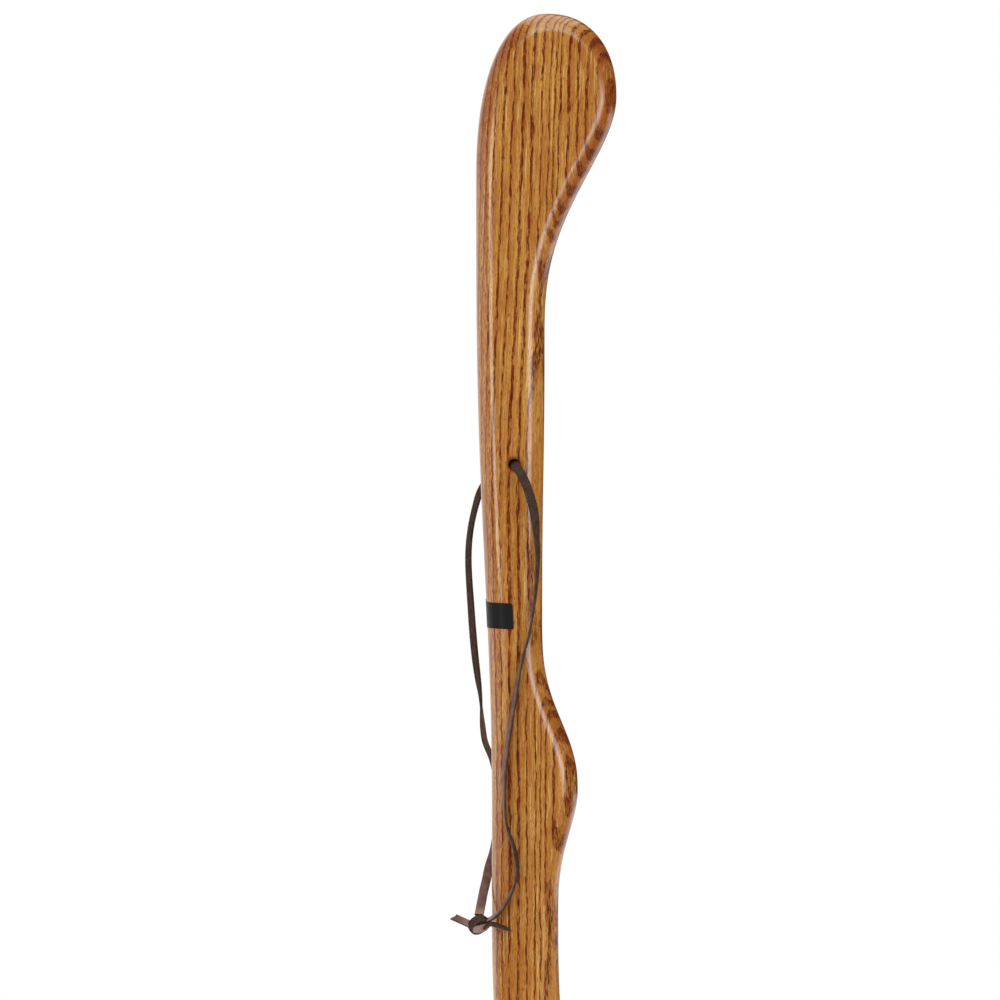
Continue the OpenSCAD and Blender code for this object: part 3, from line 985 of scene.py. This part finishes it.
def ring_marks(grain, depth, flatness, crown, end_grain):
    """Dark line, open pores and tint with which each ring starts. The rest of it is plain dense wood.

    Line and pores are wider on end grain, and where the rings lie flat in the surface the line gives way
    to pores.
    """
    count = ring_count(depth)
    ring = sums("FRACT", count)
    year = sums("FLOOR", count)
    lot = add(year, "ShaderNodeTexWhiteNoise", {"W": year}, noise_dimensions="1D").outputs["Value"]
    lying = remap(flatness, *LYING_SHARES)
    start = remap(ring, 0, BELT_RISE_SHARE)
    width = sums("ADD", remap(lot, 0, 1, *BELT_SHARES), times(end_grain, END_BELT_SHARE))
    gaps = remap(noise(grain, LINE_SIZE), *LINE_SHARES, LINE_GAP_SHARE, 1)
    line = times(belt(start, ring, width), gaps)
    line = times(line, remap(lying, 0, 1, 1, LYING_LINE_SHARE))
    line = times(line, remap(most(crown, end_grain), 0, 1, 1, END_LINE_SHARE))
    width = sums("ADD", width, times(lying, LYING_BELT_SHARE))
    long_pores = mark(grain, LONG_PORE_SIZE, LONG_PORE_SHARES)
    short_pores = mark(grain, SHORT_PORE_SIZE, SHORT_PORE_SHARES)
    dots = times(end_grain, mark(grain, DOT_SIZE, DOT_SHARES))
    pores = most(dots, most(long_pores, short_pores))
    pores = times(belt(start, ring, width), pores)
    tint = times(start, remap(ring, *TINT_FADE_SHARES, 1, 0))
    return line, pores, tint


def dashes(grain, flatness):
    """Short dark dashes all over the wood, and more of them where the rings cross the surface."""
    crossing = remap(flatness, *CROSSING_SHARES, 1, 0)
    spread = noise(grain, DASH_SIZE, detail=1.0)
    spread = sums("ADD", spread, times(crossing, CROSSING_DASH_SHARE))
    return remap(spread, *DASH_NOISE_SHARES)


def wood():
    """Open-grained ash under clear lacquer: growth rings that run along the staff, with dark pores."""
    material, tree, shader = new_material("lacquered_ash")
    coordinates = add(tree, "ShaderNodeTexCoord").outputs
    parts = parts_of(coordinates["Object"])
    grain = grain_place(parts)
    depth = ring_depth(grain)
    slope, crown, end_grain = surface(parts_of(coordinates["Normal"]))
    stain_and_shade = stain_and_painted_shade(parts, slope, crown, end_grain)
    heart = remap(depth, HEART_FROM, HEART_TO, 0, HEART_SHARE)
    flatness = sums("ABSOLUTE", facing(coordinates["Normal"], RING_WAY))
    end_grain = times(end_grain, remap(crown, 0, 1, 1, CROWN_END_SHARE))
    line, pores, tint = ring_marks(grain, depth, flatness, crown, end_grain)
    dash = dashes(grain, flatness)
    streak = mark(grain, STREAK_SIZE, STREAK_NOISE_SHARES, detail=2.0)
    # Painted glints, which stand for the lacquer's glints of light
    painted_glint = mark(grain, PAINTED_GLINT_SIZE, PAINTED_GLINT_NOISE_SHARES)
    fibre = mark(grain, FIBRE_SIZE, EVEN_SHARES, detail=2.0)
    speck = mark(grain, SPECK_SIZE, SPECK_NOISE_SHARES)
    cloud = mark(grain, CLOUD_SIZE, EVEN_SHARES, detail=2.0)

    pale = sums("ADD", times(cloud, CLOUD_SHARE), times(fibre, FIBRE_SHARE))
    colour = blend(pale, GOLD, PALE_GOLD)
    layers = [
        (times(streak, STREAK_SHARE), AMBER),
        (times(speck, SPECK_SHARE), AMBER),
        (times(tint, TINT_SHARE), AMBER),
        (heart, AMBER),
        (times(painted_glint, PAINTED_GLINT_SHARE), PAINTED_GLINT),
        # Painted light: the crown is made paler, as if lit from above
        (times(crown, CROWN_PAINTED_LIGHT_SHARE), PALE_GOLD),
        # Staining on end grain, with darkening down the head's sides and painted shade round the hole
        (stain_and_shade, RED_BROWN),
        (times(dash, DASH_SHARE), RED_BROWN),
        (line, RED_BROWN),
        (times(pores, PORE_SHARE), PORE),
    ]
    for share, tone in layers:
        colour = blend(share, colour, tone)
    height = sums("SUBTRACT", times(fibre, FIBRE_RISE_SHARE), pores)
    fill(shader, {
        "Base Color": colour,
        "Normal": bumped(height, WOOD_BUMP, PORE_DEPTH),
        "Roughness": remap(fibre, 0, 1, *WOOD_ROUGHNESS),
        "Specular IOR Level": 0.0,
        "Coat Weight": 1.0,
        "Coat IOR": LACQUER_IOR,
        "Coat Roughness": LACQUER_ROUGHNESS,
        "Coat Normal": bumped(height, LACQUER_BUMP, PORE_DEPTH),
    })
    return material


BARE_SIZE = (0.0006, 0.0006, 0.004)
# Colours of the hole's wall, darkened as painted shade
BARE_SHADE_DARK = (0.0366, 0.011, 0.00366, 1)
BARE_SHADE_PALE = (0.122, 0.0427, 0.011, 1)
BARE_ROUGHNESS = (0.75, 0.95)
BARE_BUMP = 0.4


def grained(name, size, dark, pale, roughness, bump, depth, levels):
    """Material with one fine grain, and with levels for its other inputs."""
    material, tree, shader = new_material(name)
    grain = noise(place_on(tree), size)
    fill(shader, levels)
    fill(shader, {
        "Base Color": blend(grain, dark, pale),
        "Normal": bumped(grain, bump, depth),
        "Roughness": remap(grain, *EVEN_SHARES, *roughness),
    })
    return material


def shaded_bare_wood():
    """Unlacquered wood inside the lace's hole, darkened with painted shade."""
    return grained(
        "bare_ash", BARE_SIZE, BARE_SHADE_DARK, BARE_SHADE_PALE, BARE_ROUGHNESS, BARE_BUMP, PORE_DEPTH,
        {"Specular IOR Level": 0.0},
    )


# Colours and marks of the lace
ROUGH_DARK = (0.0293, 0.0159, 0.011, 1)
ROUGH_PALE = (0.093, 0.056, 0.039, 1)
ROUGH_ROUGHNESS = (0.8, 0.95)
ROUGH_GLOSS = 0.1
ROUGH_BUMP = 0.5
SMOOTH_DARK = (0.115, 0.0512, 0.0366, 1)
SMOOTH_PALE = (0.201, 0.1, 0.0732, 1)
SMOOTH_ROUGHNESS = (0.3, 0.44)
SMOOTH_GLOSS = 0.2
SMOOTH_BUMP = 0.2
SHEEN = 0.1
SHEEN_ROUGHNESS = 0.4
SHEEN_TINT = (1, 0.82, 0.76, 1)
# Painted highlight: the smooth side turns paler near the knot, where it catches the light
PAINTED_HIGHLIGHT = (0.415, 0.259, 0.21, 1)
PAINTED_HIGHLIGHT_NEAR = 0.005
PAINTED_HIGHLIGHT_FAR = 0.0105
PAINTED_HIGHLIGHT_SHARE = 0.58
MOTTLE_SIZE = (0.0025, 0.0025, 0.004)
MOTTLE_SHARE = 0.35
NAP_SIZE = (0.0006, 0.0006, 0.0009)
NAP_SHARE = 0.65
CREASE_SIZE = (0.0008, 0.0008, 0.0016)
LEATHER_DEPTH = 0.00015


def leathers():
    """Materials of the lace: its rough side and cut edges, and its smooth side."""
    names = ("rough_leather", "smooth_leather")
    if names[0] in bpy.data.materials:
        return [bpy.data.materials[name] for name in names]
    return [rough_leather(names[0]), smooth_leather(names[1])]


def rough_leather(name):
    """Matt, fibrous side of the lace, with a short nap."""
    material, tree, shader = new_material(name)
    place = place_on(tree)
    mottle = mark(place, MOTTLE_SIZE, EVEN_SHARES, detail=4.0)
    nap = mark(place, NAP_SIZE, EVEN_SHARES, detail=3.0)
    tone_share = sums("ADD", times(mottle, MOTTLE_SHARE), times(nap, NAP_SHARE))
    fill(shader, {
        "Base Color": blend(tone_share, ROUGH_DARK, ROUGH_PALE),
        "Normal": bumped(nap, ROUGH_BUMP, LEATHER_DEPTH),
        "Roughness": remap(nap, 0, 1, *ROUGH_ROUGHNESS),
        "Specular IOR Level": ROUGH_GLOSS,
    })
    return material


def smooth_leather(name):
    """Polished side of the lace, with fine creases, and a painted highlight that makes it paler near the
    knot.
    """
    material, tree, shader = new_material(name)
    place = place_on(tree)
    mottle = mark(place, MOTTLE_SIZE, EVEN_SHARES, detail=3.0)
    crease = noise(place, CREASE_SIZE, detail=4.0)
    ends = {0: place, 1: KNOT}
    from_knot = add(tree, "ShaderNodeVectorMath", ends, operation="DISTANCE").outputs["Value"]
    # Painted highlight, strongest close to the knot
    painted_highlight = remap(from_knot, PAINTED_HIGHLIGHT_NEAR, PAINTED_HIGHLIGHT_FAR, PAINTED_HIGHLIGHT_SHARE, 0)
    fill(shader, {
        "Base Color": blend(painted_highlight, blend(mottle, SMOOTH_DARK, SMOOTH_PALE), PAINTED_HIGHLIGHT),
        "Normal": bumped(crease, SMOOTH_BUMP, LEATHER_DEPTH),
        "Roughness": remap(crease, *EVEN_SHARES, *SMOOTH_ROUGHNESS),
        "Specular IOR Level": SMOOTH_GLOSS,
        "Sheen Weight": SHEEN,
        "Sheen Roughness": SHEEN_ROUGHNESS,
        "Sheen Tint": SHEEN_TINT,
    })
    return material


FILM_GRAIN = (0.00025, 0.00025, 0.00025)
FILM_DARK = (0.00793, 0.00708, 0.00732, 1)
FILM_PALE = (0.0171, 0.0149, 0.0156, 1)
FILM_ROUGHNESS = (0.36, 0.46)
FILM_GLOSS = 0.35
FILM_BUMP = 0.15
FILM_DEPTH = 0.00005


def label_film():
    """Blank black satin film."""
    return grained(
        "label_film", FILM_GRAIN, FILM_DARK, FILM_PALE, FILM_ROUGHNESS, FILM_BUMP, FILM_DEPTH,
        {"Specular IOR Level": FILM_GLOSS},
    )


RUBBER_GRAIN = (0.0006, 0.0006, 0.0006)
RUBBER_DUST = (0.008, 0.008, 0.008)
DUST_NOISE_SHARES = (0.42, 0.75)
RUBBER_BLACK = (0.011, 0.011, 0.011, 1)
RUBBER_GREY = (0.032, 0.031, 0.029, 1)
RUBBER_ROUGHNESS = (0.5, 0.8)
RUBBER_BUMP = 0.25
RUBBER_DEPTH = 0.0002


def rubber():
    """Moulded rubber with a fine grain and a little dust."""
    material, tree, shader = new_material("moulded_rubber")
    place = place_on(tree)
    grain = noise(place, RUBBER_GRAIN, detail=3.0)
    dust = mark(place, RUBBER_DUST, DUST_NOISE_SHARES, detail=4.0)
    fill(shader, {
        "Base Color": blend(dust, RUBBER_BLACK, RUBBER_GREY),
        "Normal": bumped(grain, RUBBER_BUMP, RUBBER_DEPTH),
        "Roughness": remap(dust, 0, 1, *RUBBER_ROUGHNESS),
    })
    return material


BRUSH_SIZE = (0.004, 0.0003, 0.0003)
BRUSH_DEPTH = 0.00003
BRUSH_BUMP = 0.2
ZINC_DARK = (0.42, 0.42, 0.44, 1)
ZINC_PALE = (0.62, 0.62, 0.64, 1)
ZINC_ROUGHNESS = (0.28, 0.45)


def steel():
    """Zinc-plated steel with brush marks."""
    return grained(
        "zinc_plated_steel", BRUSH_SIZE, ZINC_DARK, ZINC_PALE, ZINC_ROUGHNESS, BRUSH_BUMP, BRUSH_DEPTH,
        {"Metallic": 1.0},
    )


def washer():
    """The washer's solid stays, with a finish of its own."""
    node = frame["nodes"]["ferrule_washer"]
    node.data.materials.clear()
    node.data.materials.append(steel())


# Stage

FLOOR_R = 14.0
FLOOR_COLOUR = (0.86, 0.86, 0.86, 1)
FLOOR_ROUGHNESS = 0.9
FLOOR_WHITE_NEAR = 0.2
FLOOR_WHITE_FAR = 0.9
FLOOR_GLOSS_NEAR = 0.6
FLOOR_GLOSS_FAR = 2.6
WHITE = (1, 1, 1, 1)
# Light from all round: its levels in front, behind and above, and over what share of the turn it changes
FILL_FRONT = 0.47
FILL_BACK = 0.78
FILL_TOP = 0.49
FILL_WAY = (-0.7, 0.71, 0)
FILL_SHARES = (-0.6, 0.6)
# What lacquer mirrors: a dim studio, a wall to the left that is darker higher up, and white behind
STUDIO = 0.01
WALL = 0.68
WALL_WAY = (-0.94, 0.34, 0)
WALL_SHARES = (0.55, 0.85)
WALL_RISE_SHARE = 0.2
WALL_TOP_SHARE = 0.3
BACK_SHARES = (0.3, 0.9)
BACK_SIDE_SHARES = (-0.3, 0.2)


def seen_directly(tree):
    """One for rays from the camera and through clear things, and otherwise zero."""
    path = add(tree, "ShaderNodeLightPath").outputs
    return most(path["Is Camera Ray"], path["Is Transmission Ray"])


def reflected(tree):
    return add(tree, "ShaderNodeLightPath").outputs["Is Glossy Ray"]


def world():
    """White to look at. It lights and is mirrored as a studio that is white behind and to the left."""
    made = bpy.data.worlds.new("studio")
    made.use_nodes = True
    tree = made.node_tree
    towards = add(tree, "ShaderNodeTexCoord").outputs["Generated"]
    right, behind, up = parts_of(towards)
    light = remap(facing(towards, FILL_WAY), *FILL_SHARES, FILL_FRONT, FILL_BACK)
    light = sums("ADD", light, remap(up, 0, 1, 0, FILL_TOP))
    wall = remap(facing(towards, WALL_WAY), *WALL_SHARES, 0, WALL)
    wall = times(wall, remap(up, 0, WALL_RISE_SHARE, 1, WALL_TOP_SHARE))
    back = times(remap(behind, *BACK_SHARES), remap(right, *BACK_SIDE_SHARES, 1, STUDIO))
    mirrored = most(most(wall, back), STUDIO)
    level = add(tree, "ShaderNodeMix", {0: reflected(tree), 2: light, 3: mirrored}).outputs[0]
    level = most(level, seen_directly(tree))
    tree.links.new(level, tree.nodes["Background"].inputs["Color"])
    bpy.context.scene.world = made


def floor():
    """Pale floor that keeps the shadow near the foot and runs out into the white background."""
    ring = [2 * math.pi * i / ROUND_SEGMENTS for i in range(ROUND_SEGMENTS)]
    points = [(FLOOR_R * math.cos(a), FLOOR_R * math.sin(a), 0) for a in ring]
    made = make_object("pale_floor", points, [tuple(range(ROUND_SEGMENTS))])
    material, tree, shader = new_material("pale_floor")
    fill(shader, {"Base Color": FLOOR_COLOUR, "Roughness": FLOOR_ROUGHNESS})
    place = add(tree, "ShaderNodeNewGeometry").outputs["Position"]
    far = length_of(place)
    behind = parts_of(place)[1]
    white = times(seen_directly(tree), remap(far, FLOOR_WHITE_NEAR, FLOOR_WHITE_FAR))
    mirrored = most(
        remap(behind, 0, FLOOR_GLOSS_FAR, STUDIO, 1),
        remap(far, FLOOR_GLOSS_NEAR, FLOOR_GLOSS_FAR, 1, STUDIO),
    )
    level = most(white, mirrored)
    share = most(white, reflected(tree))
    glow = add(tree, "ShaderNodeEmission", {"Color": WHITE, "Strength": level}).outputs[0]
    both = add(tree, "ShaderNodeMixShader", {0: share, 1: shader.outputs[0], 2: glow}).outputs[0]
    tree.links.new(both, tree.nodes["Material Output"].inputs["Surface"])
    made.data.materials.append(material)


# Softboxes round the grip: turn from the front and rise in degrees, distance, width and height, and
# brightness
GRIP_DROP = 0.22
SOFTBOXES = {
    "left_box": (-36, 4, 1.6, 0.45, 0.5, 2.2),
    "right_box": (35, 2.5, 1.6, 0.85, 0.58, 1.07),
    "right_core": (34, 2.5, 1.55, 0.4, 0.42, 1.4),
    "top_box": (0, 47, 1.5, 0.9, 1.3, 0.98),
    "sky_box": (0, 100, 1.5, 1.4, 1.4, 0.9),
    "low_box": (0, -40, 1.2, 0.9, 0.5, 0.98),
}


def softbox(name, turn, rise, far, width, height, brightness):
    """Soft lamp that gives a brightness over its face, and isn't seen by the camera."""
    data = bpy.data.lights.new(name, "AREA")
    data.shape = "RECTANGLE"
    data.size = width
    data.size_y = height
    data.energy = brightness * math.pi * width * height
    made = bpy.data.objects.new(name, data)
    turn, rise = math.radians(turn), math.radians(rise)
    level = math.cos(rise)
    out = Vector((math.sin(turn) * level, -math.cos(turn) * level, math.sin(rise)))
    made.location = Vector((0, 0, CROWN_Z - GRIP_DROP)) + out * far
    made.rotation_euler = (-out).to_track_quat("-Z", "Y").to_euler()
    made.visible_camera = False
    bpy.context.scene.collection.objects.link(made)


def lights():
    for name, values in SOFTBOXES.items():
        softbox(name, *values)


camera()
lanyard()
staff()
label()
ferrule()
washer()
world()
floor()
lights()
bpy.context.scene.view_settings.view_transform = "Standard"
